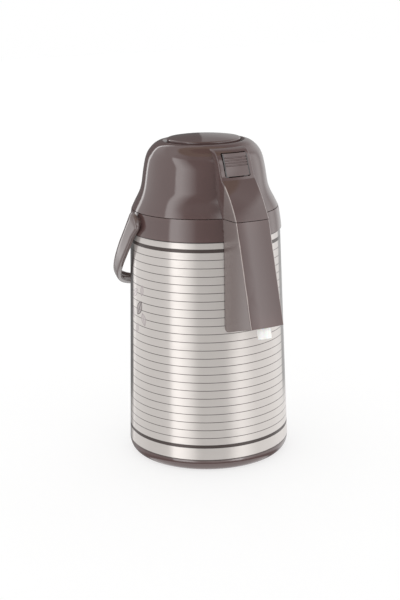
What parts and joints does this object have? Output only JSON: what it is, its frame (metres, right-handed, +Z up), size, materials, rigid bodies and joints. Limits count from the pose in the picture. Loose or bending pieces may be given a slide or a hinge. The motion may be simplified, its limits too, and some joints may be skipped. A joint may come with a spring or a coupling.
{
  "type": "pump pot",
  "caption": "Vacuum pump pot: tapered brushed-steel jug with a hinged bellows-pump lid, latched spout housing and a swinging carrying handle.",
  "frame": {"origin": "centre of the base's resting face, on the pot's axis", "axes": "+Z up along the pot's axis, -Y towards the spout, +Y towards the lid's hinge, handle pivots on +X and -X"},
  "size_m": [0.1708, 0.2183, 0.3339],
  "materials": {
    "brown_plastic": "glossy moulded",
    "dark_plastic": "matte moulded",
    "brushed_steel": "satin, brushed round",
    "pin_steel": "drawn wire",
    "liner_glass": "blown, clear",
    "natural_plastic": "natural, semi-gloss",
    "white_plastic": "glossy moulded",
    "rubber": "matte",
    "silicone": "translucent white"
  },
  "bodies": {
    "pot": {"outer_shell": "brushed_steel", "base_cover": "brown_plastic", "base_plug": "dark_plastic", "liner_outer": "liner_glass", "liner_inner": "liner_glass", "liner_cushion": "rubber", "mouth_gasket": "silicone", "collar": "brown_plastic", "pour_pipe": "natural_plastic", "spout_tip": "white_plastic", "stem_tube": "natural_plastic", "valve_cage": "natural_plastic", "pump_seat": "natural_plastic", "pipe_gasket": "silicone", "handle_pivots": "brown_plastic", "hinge_pin": "pin_steel"},
    "lid": {"lid_shell": "brown_plastic", "lid_inner_cover": "natural_plastic", "lid_screws": "pin_steel", "pump_seal": "silicone", "flap_valve": "silicone", "bellows": "rubber", "bellows_spring": "pin_steel", "latch_pin": "pin_steel", "latch_spring": "pin_steel"},
    "plate": {"push_plate": "brown_plastic", "bellows_cap": "natural_plastic", "vent_seal": "silicone"},
    "latch": {"latch_button": "brown_plastic"},
    "handle": {"carry_handle": "brown_plastic"},
    "ball": {"spill_ball": "pin_steel"}
  },
  "joints": [
    {"name": "lid_hinge", "type": "hinge", "parent": "pot", "child": "lid", "pos_m": [0, 0.0815, 0.262], "axis": [-1, 0, 0], "range_deg": [0, 95]},
    {"name": "plate_press", "type": "slide", "parent": "lid", "child": "plate", "axis": [0, 0, -1], "range_m": [0, 0.02], "stiffness_N_per_m": 900, "springref_m": -0.008, "deforming": ["bellows", "bellows_spring"]},
    {"name": "latch_press", "type": "hinge", "parent": "lid", "child": "latch", "pos_m": [0, -0.055, 0.3165], "axis": [1, 0, 0], "range_deg": [0, 3.5], "stiffness_Nm_per_rad": 0.3, "springref_deg": -5.73},
    {"name": "handle_swing", "type": "hinge", "parent": "pot", "child": "handle", "pos_m": [0, -0.0016, 0.2508], "axis": [1, 0, 0], "range_deg": [0, 205]},
    {"name": "ball_lift", "type": "slide", "parent": "pot", "child": "ball", "axis": [0, 0, 1], "range_m": [0, 0.0035]}
  ]
}
